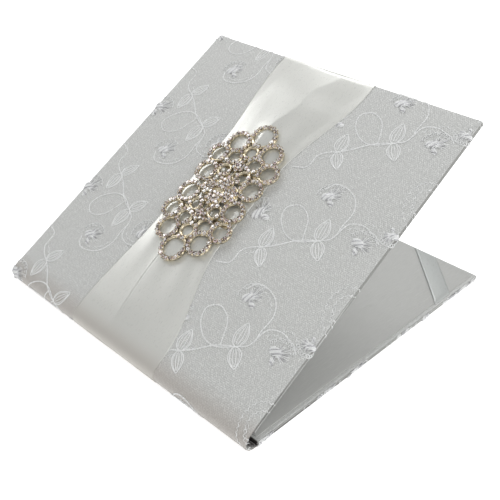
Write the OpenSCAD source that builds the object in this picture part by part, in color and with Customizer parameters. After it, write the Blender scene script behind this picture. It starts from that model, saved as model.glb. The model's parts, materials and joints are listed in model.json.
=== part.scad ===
// Wedding folio: two padded square covers joined by a soft spine, with a ribbon band and a jewelled brooch.
// Millimetres, +Z up. The origin is the centre of the back cover's underside, X runs from the spine
// to the free edges, and Y runs along the spine.

/* [Covers] */
// Length of each cover along the spine
cover_l = 178; // [150:1:220]
// Width of each cover from its spine edge to its free edge
cover_w = 179.5; // [150:0.5:220]
// Radius of the covers' corners
corner_r = 1.5; // [1:0.5:3]
// Thickness of the embroidered fabric
fabric_t = 0.4; // [0.3:0.1:0.6]
// Thickness of the foam padding under the fabric
padding_t = 0.8; // [0.5:0.1:1.5]
// Thickness of the board in each cover
board_t = 1.6; // [1.2:0.1:3]

/* [Linings] */
// Width of the fabric turned in over the inner face
turn_in_w = 12; // [8:1:20]
// Distance from a cover's edges to its lining panel
lining_inset = 2; // [1:0.5:4]
// Thickness of the card under each lining
card_t = 0.3; // [0.2:0.05:0.6]
// Thickness of the lining silk
silk_t = 0.15; // [0.1:0.05:0.3]
// Width of the narrow ribbons across the lining's corners
corner_ribbon_w = 9.5; // [6:0.5:12]
// Length of lining edge on the corner's side of a corner ribbon
corner_ribbon_reach = 25; // [20:1:50]

/* [Spine] */
// Clear height between the linings when the folio is shut
shut_gap = 4.2; // [4.2:0.1:8]
// How far the spine bulges outwards between its two folds
spine_bulge = 3; // [2:0.25:4]
// Thickness of the flexible card inside the spine
spine_card_t = 0.4; // [0.2:0.1:0.6]
// Distance from each fold line to the cover's edge
fold_gap = 0.8; // [0.7:0.1:2]
// Angle between the covers as the folio stands open
opening = 31.4; // [10:0.1:60]

/* [Ribbon band] */
// Width of the ribbon
ribbon_w = 62.5; // [40:0.5:80]
// Thickness of the ribbon
ribbon_t = 0.3; // [0.2:0.05:0.4]
// Width of the ribbon where it is gathered under the brooch
waist_w = 44; // [30:1:60]
// Length of the gathered stretch
waist_l = 58; // [40:1:80]
// Middle of the ribbon at the spine
ribbon_mid_spine = 1.5; // [-5:0.5:5]
// Middle of the ribbon under the brooch
ribbon_mid_waist = 8; // [-10:0.5:10]
// Middle of the ribbon at the front cover's free edge
ribbon_mid_free = 4.5; // [-5:0.5:5]

/* [Brooch] */
// Distance of the brooch's centre from the fold line
brooch_x = 88.8; // [70:0.5:110]
// Distance of the brooch's centre from the cover's middle, along the spine
brooch_y = 6.5; // [-10:0.5:15]
// Width of the metal band that forms each loop
band_w = 1.9; // [1.5:0.1:2.5]
// Height of the metal band
band_h = 1.2; // [0.8:0.1:2]
// Height of the bars that lift the brooch off the ribbon
bar_h = 1.5; // [1:0.1:3]
// Diameter of the small stones
stone_d = 1.9; // [1.5:0.1:2.2]
// Distance between neighbouring small stones
stone_pitch = 2.2; // [2.2:0.1:3]

/* [Hidden] */
$fn = 48;
cut = 0.01; // a cutting shape runs this far past what it cuts

// Heights in a cover, from its outer face inwards
padding_z = fabric_t;
board_z = padding_z + padding_t;
turn_in_z = board_z + board_t;
card_z = turn_in_z + fabric_t;
silk_z = card_z + card_t;
cover_t = silk_z + silk_t;

// The spine: its chord joins the two fold lines, and its skin is an arc on that chord
spine_l = 2 * cover_t + shut_gap;
fold_angle = opening / 2;
skin_r = (pow(spine_l / 2, 2) + pow(spine_bulge, 2)) / (2 * spine_bulge);
fold_clear = 0.3; // the skin stops this far short of the fold lines
skin_half_angle = asin(spine_l / 2 / skin_r) - asin(fold_clear / skin_r);
skin_card_r = skin_r - fabric_t;
skin_silk_r = skin_card_r - spine_card_t;

// Where the parts lie
back_mid_x = fold_gap + cover_w / 2;
free_edge_x = fold_gap + cover_w;
board_inset = fabric_t;

// The brooch's loops as [along the cover, along the spine, radius], for one quarter of it
petal_loops = [[7.2, 16, 5.6], [19.4, 17.6, 5.2], [29.6, 11.4, 6]];
inner_loops = [[20.8, 7.2, 4.3], [11.7, 6.6, 3.6]];
tip_loops = [[37.8, 0, 6.6], [26.4, 0, 3.9]];
loops = concat(
    [for (l = concat(petal_loops, inner_loops), u = [-1, 1], v = [-1, 1]) [u * l[0], v * l[1], l[2]]],
    [for (l = tip_loops, u = [-1, 1]) [u * l[0], 0, l[2]]]
);
// The discs of the brooch's centre, and one under each flower of stones, as [along, across, radius]
centre_discs = [[0, 7.2, 5.2], [0, -7.2, 5.2], [4.8, 0, 5.2], [-4.8, 0, 5.2]];
flower_u = 16.5;
flower_discs = [[flower_u, 0, 3.7], [-flower_u, 0, 3.7]];
flower_ring_r = 2.6; // six small stones stand round a flower's middle stone, at this distance
flower_stone_d = 3;
all_discs = concat(centre_discs, flower_discs);
spine_bar_l = 47; // the bar that joins the centre, the flowers and the loops on the brooch's axis
spine_bar_w = 2.6;
bar_l = 36;
bar_w = 2;
bar_u = 14.9; // the two bars behind the brooch are this far from its centre
stone_h = 0.9;
stone_table = 0.6; // a stone's flat top, as a share of its diameter

fabric_colour = [0.80, 0.81, 0.81];
ribbon_colour = [0.93, 0.93, 0.90];
silk_colour = [0.72, 0.72, 0.70];
board_colour = [0.62, 0.60, 0.56];
foam_colour = [0.95, 0.95, 0.93];
metal_colour = [0.80, 0.76, 0.70];
stone_colour = [0.92, 0.94, 0.96];

// --- Places: each turns its children from a piece's own frame into the folio's frame ---

// The back cover's frame has the lower fold line as its origin and the outer face at z = 0
module on_back() {
    translate([-back_mid_x, 0, ribbon_t]) children();
}

// The spine's frame has the lower fold line as its origin and the upper fold line at z = spine_l
module on_spine() {
    on_back() rotate([0, -fold_angle, 0]) children();
}

// The front cover's frame has the upper fold line as its origin, the outer face at z = 0 and +Z outwards
module on_front() {
    on_spine() translate([0, 0, spine_l]) rotate([0, -fold_angle, 0]) children();
}

// The brooch's frame has its origin on the ribbon, under the brooch's centre
module on_brooch() {
    on_front() translate([brooch_x, brooch_y, ribbon_t]) children();
}

// --- Shapes that the two covers share, with the outer face at z = 0 and the inside upwards ---

module panel(inset, z, thick) {
    translate([fold_gap + inset, inset - cover_l / 2, z])
        cube([cover_w - 2 * inset, cover_l - 2 * inset, thick]);
}

module rounded_panel(thick) {
    corner_x = [fold_gap + corner_r, free_edge_x - corner_r];
    corner_y = [corner_r - cover_l / 2, cover_l / 2 - corner_r];
    linear_extrude(height = thick) {
        translate([fold_gap + corner_r, -cover_l / 2]) square([cover_w - 2 * corner_r, cover_l]);
        translate([fold_gap, corner_r - cover_l / 2]) square([cover_w, cover_l - 2 * corner_r]);
        for (x = corner_x, y = corner_y)
            translate([x, y]) circle(corner_r);
    }
}

// The fabric round a cover: outer face, edges and the strip turned in over the inner face
module cover_wrap() {
    difference() {
        rounded_panel(card_z);
        panel(board_inset, padding_z, padding_t + board_t);
        panel(turn_in_w, turn_in_z - cut, fabric_t + 2 * cut);
    }
}

module padding() {
    panel(board_inset, padding_z, padding_t);
}

module board() {
    panel(board_inset, board_z, board_t);
}

module lining_card() {
    panel(lining_inset, card_z, card_t);
}

module lining() {
    panel(lining_inset, silk_z, silk_t);
}

// The band on a cover's outer face, turned round its free edge as far as the lining panel
module ribbon_band(outline, mid) {
    edge_in = free_edge_x - lining_inset;
    translate([0, 0, -ribbon_t]) linear_extrude(height = ribbon_t) polygon(outline);
    translate([free_edge_x, mid - ribbon_w / 2, -ribbon_t])
        cube([ribbon_t, ribbon_w, card_z + 2 * ribbon_t]);
    translate([edge_in, mid - ribbon_w / 2, card_z])
        cube([lining_inset + ribbon_t, ribbon_w, ribbon_t]);
}

// --- Shapes of the spine, in its own frame ---

// An arc of skin between the fold lines, of the given outer radius and thickness
module skin(outer_r, thick, low_y, high_y) {
    reach = 1.5 * outer_r / cos(skin_half_angle);
    far_x = -reach * cos(skin_half_angle);
    far_z = reach * sin(skin_half_angle);
    translate([skin_r - spine_bulge, high_y, spine_l / 2]) rotate([90, 0, 0])
        linear_extrude(height = high_y - low_y) intersection() {
            difference() {
                circle(outer_r);
                circle(outer_r - thick);
            }
            polygon([[0, 0], [far_x, far_z], [far_x, -far_z]]);
        }
}

// --- Shapes of the inside corners ---

// A narrow ribbon across one corner of the lining, in the frame of the lining's corner, with the
// lining towards +X and +Y
module corner_ribbon() {
    near = corner_ribbon_reach;
    far = near + corner_ribbon_w * sqrt(2);
    linear_extrude(height = silk_t) polygon([[near, 0], [far, 0], [0, far], [0, near]]);
}

// --- Shapes of the brooch ---

module band_ring(l) {
    translate([l[0], l[1]]) difference() {
        circle(l[2] + band_w / 2);
        circle(l[2] - band_w / 2);
    }
}

module stone(d) {
    cylinder(d1 = d, d2 = d * stone_table, h = stone_h);
}

// True if a point is clear of the stones on the loops listed before number i
function clear_of_loops(p, i) =
    min([for (j = [0:1:i - 1]) abs(norm([p[0] - loops[j][0], p[1] - loops[j][1]]) - loops[j][2])])
    > stone_d * 0.6;

function in_discs(p, discs, margin) =
    min([for (d = discs) norm([p[0] - d[0], p[1] - d[1]]) - d[2]]) < margin;

function on_loop(l, a) = [l[0] + l[2] * cos(a), l[1] + l[2] * sin(a)];

function loop_stones(i) =
    let (l = loops[i], n = floor(2 * PI * l[2] / stone_pitch))
    [for (k = [0:n - 1]) let (p = on_loop(l, atan2(-l[1], -l[0]) + (k + 0.5) * 360 / n))
        if (!in_discs(p, all_discs, stone_d / 2) && (i == 0 || clear_of_loops(p, i))) p];

function apart(p, others, gap) =
    len(others) == 0 || min([for (o = others) norm(p - o)]) > gap;

// The points of a list that keep clear of those kept before them
function thinned(points, gap, kept = [], i = 0) =
    i == len(points) ? kept
    : thinned(points, gap, apart(points[i], kept, gap) ? concat(kept, [points[i]]) : kept, i + 1);

// --- The pieces ---

module back_board() {
    color(board_colour) on_back() board();
}

module back_padding() {
    color(foam_colour) on_back() padding();
}

module back_cover_fabric() {
    color(fabric_colour) on_back() cover_wrap();
}

module back_lining_card() {
    color(board_colour) on_back() lining_card();
}

module back_lining() {
    color(silk_colour) on_back() lining();
}

module corner_ribbon_free_edge() {
    color(ribbon_colour) on_back()
        translate([free_edge_x - lining_inset, lining_inset - cover_l / 2, cover_t])
            rotate([0, 0, 90]) corner_ribbon();
}

module corner_ribbon_spine_edge() {
    color(ribbon_colour) on_back()
        translate([fold_gap + lining_inset, cover_l / 2 - lining_inset, cover_t])
            rotate([0, 0, -90]) corner_ribbon();
}

module ribbon_back() {
    low = ribbon_mid_spine - ribbon_w / 2;
    high = ribbon_mid_spine + ribbon_w / 2;
    color(ribbon_colour) on_back() ribbon_band(
        [[fold_gap, low], [free_edge_x, low], [free_edge_x, high], [fold_gap, high]],
        ribbon_mid_spine
    );
}

module spine_card() {
    color(board_colour) on_spine() skin(skin_card_r, spine_card_t, -cover_l / 2, cover_l / 2);
}

module spine_fabric() {
    color(fabric_colour) on_spine() skin(skin_r, fabric_t, -cover_l / 2, cover_l / 2);
}

module spine_lining() {
    color(silk_colour) on_spine() skin(skin_silk_r, silk_t, -cover_l / 2, cover_l / 2);
}

module ribbon_spine() {
    low = ribbon_mid_spine - ribbon_w / 2;
    color(ribbon_colour) on_spine() skin(skin_r + ribbon_t, ribbon_t, low, low + ribbon_w);
}

module front_board() {
    color(board_colour) on_front() mirror([0, 0, 1]) board();
}

module front_padding() {
    color(foam_colour) on_front() mirror([0, 0, 1]) padding();
}

module front_cover_fabric() {
    color(fabric_colour) on_front() mirror([0, 0, 1]) cover_wrap();
}

module front_lining_card() {
    color(board_colour) on_front() mirror([0, 0, 1]) lining_card();
}

module front_lining() {
    color(silk_colour) on_front() mirror([0, 0, 1]) lining();
}

module ribbon_front() {
    waist_near = brooch_x - waist_l / 2;
    waist_far = brooch_x + waist_l / 2;
    half = ribbon_w / 2;
    color(ribbon_colour) on_front() mirror([0, 0, 1]) ribbon_band([
        [fold_gap, ribbon_mid_spine - half],
        [waist_near, ribbon_mid_waist - waist_w / 2],
        [waist_far, ribbon_mid_waist - waist_w / 2],
        [free_edge_x, ribbon_mid_free - half],
        [free_edge_x, ribbon_mid_free + half],
        [waist_far, ribbon_mid_waist + waist_w / 2],
        [waist_near, ribbon_mid_waist + waist_w / 2],
        [fold_gap, ribbon_mid_spine + half]
    ], ribbon_mid_free);
}

module brooch_bars() {
    color(metal_colour) on_brooch() for (u = [-bar_u, bar_u])
        translate([u - bar_w / 2, -bar_l / 2, 0]) cube([bar_w, bar_l, bar_h]);
}

module brooch_frame() {
    color(metal_colour) on_brooch() translate([0, 0, bar_h]) linear_extrude(height = band_h) {
        for (l = loops) band_ring(l);
        for (d = all_discs) translate([d[0], d[1]]) circle(d[2]);
        square([spine_bar_l, spine_bar_w], center = true);
    }
}

module brooch_stones() {
    all = [for (i = [0:len(loops) - 1], p = loop_stones(i)) p];
    color(stone_colour) on_brooch() translate([0, 0, bar_h + band_h])
        for (p = thinned(all, stone_d * 1.05)) translate(p) stone(stone_d);
}

module brooch_centre_stones() {
    rows = 5;
    columns = 4;
    color(stone_colour) on_brooch() translate([0, 0, bar_h + band_h]) {
        for (i = [-columns:columns], j = [-rows:rows])
            if (in_discs([i, j] * stone_pitch, centre_discs, -stone_d / 2))
                translate([i, j] * stone_pitch) stone(stone_d);
        for (u = [-flower_u, flower_u]) translate([u, 0]) {
            stone(flower_stone_d);
            for (k = [0:5]) rotate(k * 60) translate([flower_ring_r, 0]) stone(stone_d);
        }
    }
}

back_board();
back_padding();
back_cover_fabric();
back_lining_card();
back_lining();
corner_ribbon_free_edge();
corner_ribbon_spine_edge();
ribbon_back();
spine_card();
spine_fabric();
spine_lining();
ribbon_spine();
front_board();
front_padding();
front_cover_fabric();
front_lining_card();
front_lining();
ribbon_front();
brooch_bars();
brooch_frame();
brooch_stones();
brooch_centre_stones();
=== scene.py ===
"""Dresses a wedding folio in embroidered net, with a satin band, a jewelled brooch and silk linings."""

import json
import math
import random

import bmesh
import bpy
import numpy as np
from mathutils import Matrix, Vector


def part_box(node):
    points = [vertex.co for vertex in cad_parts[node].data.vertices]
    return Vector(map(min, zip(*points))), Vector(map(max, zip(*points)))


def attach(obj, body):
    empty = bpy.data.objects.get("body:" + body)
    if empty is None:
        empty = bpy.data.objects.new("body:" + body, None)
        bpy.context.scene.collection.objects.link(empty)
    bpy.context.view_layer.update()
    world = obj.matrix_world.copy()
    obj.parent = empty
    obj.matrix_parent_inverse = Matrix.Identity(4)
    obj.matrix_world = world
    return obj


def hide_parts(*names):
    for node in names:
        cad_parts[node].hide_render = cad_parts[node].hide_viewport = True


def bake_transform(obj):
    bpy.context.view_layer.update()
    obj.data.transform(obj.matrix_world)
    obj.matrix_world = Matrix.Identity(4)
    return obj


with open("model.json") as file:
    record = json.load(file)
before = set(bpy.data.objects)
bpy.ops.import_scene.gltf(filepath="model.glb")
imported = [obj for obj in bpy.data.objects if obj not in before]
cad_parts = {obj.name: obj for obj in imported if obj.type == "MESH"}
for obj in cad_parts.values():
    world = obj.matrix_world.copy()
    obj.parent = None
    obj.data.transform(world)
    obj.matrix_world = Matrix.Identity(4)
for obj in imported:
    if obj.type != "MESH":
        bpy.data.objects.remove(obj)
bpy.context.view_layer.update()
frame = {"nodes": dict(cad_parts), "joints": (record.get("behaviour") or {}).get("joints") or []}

bl_info = {
    "name": "Wedding Folio",
    "version": (1, 0, 0),
    "blender": (4, 5, 0),
    "location": "View3D > Sidebar > Folio",
    "description": "Dresses a square fabric-covered folio with a ribbon band and a jewelled brooch",
    "category": "Object",
}

MM = 0.001

# --- What the frame says about the folio ---

FOLDS = {joint["name"]: joint for joint in frame["joints"]}
LOWER = np.array(FOLDS["spine_fold"]["pos_m"], float)
UPPER = np.array(FOLDS["cover_fold"]["pos_m"], float)
LEAN = math.radians(-FOLDS["cover_fold"]["range_deg"][0])  # each fold is open by this much at rest
LOW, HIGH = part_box("back_cover_fabric")
FOLD_GAP = LOW.x - LOWER[0]  # from a fold line to the cover's edge
FREE = HIGH.x - LOWER[0]  # from a fold line to the free edge
HALF = HIGH.y  # half the length of the spine
THICK = HIGH.z - LOW.z  # a cover up to its turned-in cloth
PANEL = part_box("back_lining")[1].z - HIGH.z  # how far a lining panel stands proud of that
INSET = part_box("back_lining")[0].y + HALF  # from a cover's edge to its lining panel
RIBBON_T = LOW.z
RIBBON_LOW, RIBBON_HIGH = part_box("ribbon_spine")
BROOCH_LOW, BROOCH_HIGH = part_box("brooch_frame")
ACROSS = np.array((0.0, 1.0, 0.0))
INWARDS = np.array((math.cos(LEAN), 0.0, math.sin(LEAN)))  # from the spine towards the covers
MIDDLE = (LOWER + UPPER) / 2
SPINE_L = float(np.linalg.norm(UPPER - LOWER))


class Cover:
    """Where a cover lies: its fold line, and its directions along, across and outwards."""

    def __init__(self, body, origin, tilt, side):
        self.body = body
        self.origin = np.array(origin)
        self.along = np.array((math.cos(tilt), 0.0, math.sin(tilt)))
        self.out = side * np.array((-math.sin(tilt), 0.0, math.cos(tilt)))

    def place(self, a, y, h):
        """Points from their distances along, across and out of the cover."""
        a, y, h = (np.asarray(k, float)[..., None] for k in (a, y, h))
        return self.origin + a * self.along + y * ACROSS + h * self.out


FRONT = Cover("front_cover", UPPER, 2 * LEAN, 1)
BACK = Cover("back_cover", LOWER, 0.0, -1)


def smooth(x, low, high):
    """0 before low, 1 after high, and a soft step between."""
    t = np.clip((np.asarray(x, float) - low) / (high - low), 0, 1)
    return t * t * (3 - 2 * t)


def heading(angle):
    """The unit vector in a direction given in radians."""
    return np.array((math.cos(angle), math.sin(angle)))


def left_of(path):
    """Unit vectors to the left of each point of a path."""
    ahead = np.gradient(path, axis=0)
    left = np.stack([-ahead[:, 1], ahead[:, 0]], axis=1)
    return left / np.maximum(np.linalg.norm(left, axis=1), 1e-9)[:, None]


def bezier(points, count):
    """Points along a cubic curve with the four given control points."""
    t = np.linspace(0, 1, count)[:, None]
    p = np.array(points, float)
    return (1 - t) ** 3 * p[0] + 3 * t * (1 - t) ** 2 * p[1] + 3 * t**2 * (1 - t) * p[2] + t**3 * p[3]


class Cloth:
    """The covering cloth of half the folio, unrolled: s runs from the middle of the spine to the free
    edge and round it, and y runs along the spine. Both halves have the same outline."""

    FLAT_FROM = 6 * MM  # the cover's face is flat from here on
    SPINE_PULL, FACE_PULL = 4.4 * MM, 7 * MM  # how far the curve over the fold keeps each end's direction
    TURN_IN = 12 * MM  # how far the cloth is followed inwards on the cover's inner face
    END_ROUND = 0.25 * MM  # radius of the cloth's edge at the spine's ends

    def __init__(self, sizes, cover):
        self.sizes = sizes
        self.crown = sizes.crown if cover is FRONT else 0.0  # the back cover lies flat on the table
        r = self.round = sizes.edge_round
        mid = (
            -sizes.spine_bulge * math.cos(LEAN) - SPINE_L / 2 * math.sin(LEAN),
            sizes.spine_bulge * math.sin(LEAN) - SPINE_L / 2 * math.cos(LEAN),
        )
        up = np.array((math.sin(LEAN), math.cos(LEAN)))
        flat = np.array((self.FLAT_FROM, 0.0))
        fold = bezier((mid, mid + up * self.SPINE_PULL, flat - (self.FACE_PULL, 0), flat), 26)
        face = [(a, 0.0) for a in np.linspace(self.FLAT_FROM, FREE - r, 90)[1:]]
        turn = np.linspace(0, math.pi / 2, 7)[1:]
        top = [(FREE - r + r * math.sin(t), -r + r * math.cos(t)) for t in turn]
        low = [(FREE - r + r * math.cos(t), -THICK + r - r * math.sin(t)) for t in turn]
        inner = [(a, -THICK) for a in np.linspace(FREE - r, FREE - self.TURN_IN, 8)[1:]]
        self.path = np.array([*fold, *face, *top, *low, *inner])
        steps = np.linalg.norm(np.diff(self.path, axis=0), axis=1)
        self.s = np.concatenate([[0], np.cumsum(steps)])
        self.fold_points = len(fold)
        self.shift = self.s[len(fold) - 1] - self.FLAT_FROM  # s minus the distance along the face
        self.edge_s = self.s[len(fold) + len(face) - 1]
        self.inside_s = self.s[-len(inner) - 1]
        self.normal = left_of(self.path)

    def rise(self, a, y):
        """How far the padding lifts the cloth, and its faint unevenness."""
        soft = 7 * MM
        from_edge = np.clip(FREE - self.round - a, 0, None)
        from_end = np.clip(HALF - self.round - np.abs(y), 0, None)
        swell = (1 - np.exp(-from_edge / soft)) * (1 - np.exp(-from_end / soft)) * smooth(a, -3 * MM, 12 * MM)
        uneven = np.sin(a / (11 * MM) + 1.3 * np.sin(y / (23 * MM))) * np.sin(y / (14 * MM) + a / (37 * MM))
        return swell * self.crown * (1 + 0.2 * uneven)

    def at(self, s, y, lift=0.0):
        """(along, across, out) of points lifted above the cloth, which turns down past the covers' ends."""
        s, y = np.broadcast_arrays(np.asarray(s, float), np.asarray(y, float))
        a, h = (np.interp(s, self.s, self.path[:, k]) for k in (0, 1))
        na, nh = (np.interp(s, self.s, self.normal[:, k]) for k in (0, 1))
        r = self.END_ROUND + (self.round - self.END_ROUND) * smooth(a, -1 * MM, 3 * MM)
        over = np.clip(np.abs(y) - (HALF - r), 0, r * math.pi / 2 + THICK - 1.4 * r)
        turn = np.minimum(over / r, math.pi / 2)
        drop = r * (1 - np.cos(turn)) + np.clip(over - r * math.pi / 2, 0, None)
        across = np.minimum(np.abs(y), HALF - r) + r * np.sin(turn)
        above = self.rise(a, y) * np.clip(nh, 0, 1) - drop + lift * np.cos(turn)
        return a + na * above, np.sign(y) * (across + lift * np.sin(turn)), h + nh * above


# --- Building meshes ---


def new_object(name, mesh):
    piece = bpy.data.objects.new(name, mesh)
    bpy.context.scene.collection.objects.link(piece)
    return piece


def loft(name, rows, uv, closed=False, flip=False):
    """A sheet through rows of points, or a closed form with capped ends. uv is in metres on the cloth."""
    rows = np.asarray(rows)
    bm = bmesh.new()
    layer = bm.loops.layers.uv.new("cloth")
    grid = [[bm.verts.new(p) for p in row] for row in rows]
    width = rows.shape[1]
    for i in range(len(grid) - 1):
        for j in range(width if closed else width - 1):
            k = (j + 1) % width
            face = bm.faces.new((grid[i][j], grid[i][k], grid[i + 1][k], grid[i + 1][j]))
            corners = (uv[i][j], uv[i][j + 1], uv[i + 1][j + 1], uv[i + 1][j])
            for loop, corner in zip(face.loops, corners, strict=True):
                loop[layer].uv = corner
    if closed:
        for row, ends in ((grid[0], uv[0]), (grid[-1], uv[-1])):
            face = bm.faces.new(row)
            for loop, end in zip(face.loops, ends[:-1], strict=True):
                loop[layer].uv = end
        bmesh.ops.recalc_face_normals(bm, faces=bm.faces)
    elif flip:
        bmesh.ops.reverse_faces(bm, faces=bm.faces)
    mesh = bpy.data.meshes.new(name)
    bm.to_mesh(mesh)
    bm.free()
    return shade_smooth(new_object(name, mesh))


def shade_smooth(piece):
    for polygon in piece.data.polygons:
        polygon.use_smooth = True
    return piece


def deselect():
    bpy.ops.object.select_all(action="DESELECT")


def choose(*pieces):
    """Selects just these pieces, and makes the first one active."""
    deselect()
    for piece in pieces:
        piece.select_set(True)
    bpy.context.view_layer.objects.active = pieces[0]


def thicken(piece, thickness):
    """Gives a sheet its thickness, outwards."""
    modifier = piece.modifiers.new("Thickness", "SOLIDIFY")
    modifier.thickness = thickness
    modifier.offset = 1.0
    modifier.use_even_offset = False
    choose(piece)
    bpy.ops.object.modifier_apply(modifier=modifier.name)


def bevel_all(offset, segments):
    """Bevels every edge of the active object."""
    bpy.ops.object.mode_set(mode="EDIT")
    bpy.ops.mesh.select_all(action="SELECT")
    bpy.ops.mesh.bevel(offset=offset, segments=segments, affect="EDGES")
    bpy.ops.mesh.select_all(action="DESELECT")
    bpy.ops.object.mode_set(mode="OBJECT")


def join(name, pieces):
    choose(*pieces)
    bpy.ops.object.join()
    piece = bpy.context.view_layer.objects.active
    piece.name = piece.data.name = name
    return piece


def vertices(piece):
    points = np.empty(len(piece.data.vertices) * 3)
    piece.data.vertices.foreach_get("co", points)
    return points.reshape(-1, 3)


def move_vertices(piece, points):
    piece.data.vertices.foreach_set("co", np.asarray(points, float).ravel())
    piece.data.update()


def repeated(name, model, matrices, painted_reflection=None):
    """One mesh with a copy of the model's mesh at each place, and a painted reflection for each face from the
    given function.
    """
    bm = bmesh.new()
    part = bmesh.new()
    part.from_mesh(model.data)
    # edit mode leaves faces in an order that varies from run to run, and tint goes by that order
    faces = sorted(part.faces, key=lambda face: sorted(v.index for v in face.verts))
    for matrix in matrices:
        copy = {v: bm.verts.new(matrix @ v.co) for v in part.verts}
        for face in faces:
            bm.faces.new([copy[v] for v in face.verts]).smooth = face.smooth
    mesh = bpy.data.meshes.new(name)
    bm.to_mesh(mesh)
    bm.free()
    part.free()
    # painted reflections: a shade for each face
    if painted_reflection:
        shade = mesh.attributes.new("shade", "FLOAT_COLOR", "FACE")
        for item in shade.data:
            item.color = painted_reflection()
    bpy.data.objects.remove(model)
    return new_object(name, mesh)


def finish_piece(piece, finish, body):
    """Gives a piece its material, and parents it to the empty of the body that it moves with; a piece given a
    cover is only baked in place."""
    piece.data.materials.clear()
    piece.data.materials.append(finish)
    if isinstance(body, Cover):
        start, end = MIDDLE + INWARDS * 1 * MM, MIDDLE - INWARDS * 4 * MM
        tuple(start)
        tuple(end)
        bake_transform(piece)
    else:
        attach(piece, body)


# --- Materials ---


class Number:
    """A socket in a material's nodes, so that its sums are written as Python expressions."""

    def __init__(self, finish, socket):
        self.finish = finish
        self.socket = socket

    def math(self, operation, *values):
        sockets = dict(enumerate(values))
        return self.finish.add("Math", {"operation": operation}, sockets)

    def __add__(self, other):
        return self.math("ADD", self, other)

    def __sub__(self, other):
        return self.math("SUBTRACT", self, other)

    def __rsub__(self, other):
        return self.math("SUBTRACT", other, self)

    def __mul__(self, other):
        return self.math("MULTIPLY", self, other)

    __radd__ = __add__
    __rmul__ = __mul__

    def cos(self):
        return self.math("COSINE", self)

    def absolute(self):
        return self.math("ABSOLUTE", self)

    def step(self, low, high):
        """0 before low and 1 after high."""
        sockets = {"Value": self, "From Min": low, "From Max": high}
        return self.finish.add("MapRange", {"interpolation_type": "SMOOTHSTEP"}, sockets)


class Finish:
    """A material being built."""

    def __init__(self, name):
        self.material = bpy.data.materials.new(name)
        self.material.use_nodes = True
        self.tree = self.material.node_tree
        self.tree.nodes.clear()

    def add(self, kind, settings=None, sockets=None, out=0):
        node = self.tree.nodes.new("ShaderNode" + kind)
        for key, value in (settings or {}).items():
            setattr(node, key, value)
        for key, value in (sockets or {}).items():
            socket = node.inputs[key]
            if isinstance(value, Number):
                self.tree.links.new(value.socket, socket)
            elif isinstance(value, tuple) and len(value) == 3 and socket.type == "RGBA":
                socket.default_value = (*value, 1)
            else:
                socket.default_value = value
        return Number(self, node.outputs[out]) if node.outputs else None

    def cloth_map(self, stretch_s=1.0, stretch_y=1.0, turn=0.0):
        """The place on the cloth, in metres, turned and then stretched along either direction."""
        place = self.add("UVMap", {"uv_map": "cloth"})
        if turn:
            place = self.add("Mapping", {"vector_type": "POINT"}, {"Vector": place, "Rotation": (0, 0, turn)})
        scale = {"Vector": place, "Scale": (stretch_s, stretch_y, 1)}
        return self.add("Mapping", {"vector_type": "POINT"}, scale)

    def object_map(self):
        return self.add("TexCoord", out="Object")

    def axis(self, where, k):
        """One of a map's three distances."""
        return self.add("SeparateXYZ", {}, {0: where}, out=k)

    def noise(self, where, scale, detail=2.0, roughness=0.5):
        sockets = {"Vector": where, "Scale": scale, "Detail": detail, "Roughness": roughness}
        return self.add("TexNoise", {}, sockets)

    def mix(self, factor, first, second):
        return self.add("Mix", {"data_type": "RGBA"}, {0: factor, 6: first, 7: second}, out=2)

    def bump(self, height, distance, strength):
        return self.add("Bump", {}, {"Height": height, "Distance": distance, "Strength": strength})

    def surface(self, **values):
        """Ends the material with a Principled shader; names are its sockets' names."""
        sockets = {key.replace("_", " ").title().replace("Ior", "IOR"): v for key, v in values.items()}
        shader = self.add("BsdfPrincipled", {}, sockets)
        self.add("OutputMaterial", {}, {"Surface": shader})
        return self.material


def rgb(colour):
    return tuple(colour)[:3]


def darker(colour, share):
    return tuple(c * share for c in rgb(colour))


HOLLOW_MARK = 1.0  # added to the cloth's map, along the spine, where the cloth lines the hollow in the spine, to mark it for painted shade
# the near black painted shade inside the hollow of the spine
HOLLOW_PAINTED_SHADE = (0.01, 0.006, 0.005)


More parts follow.
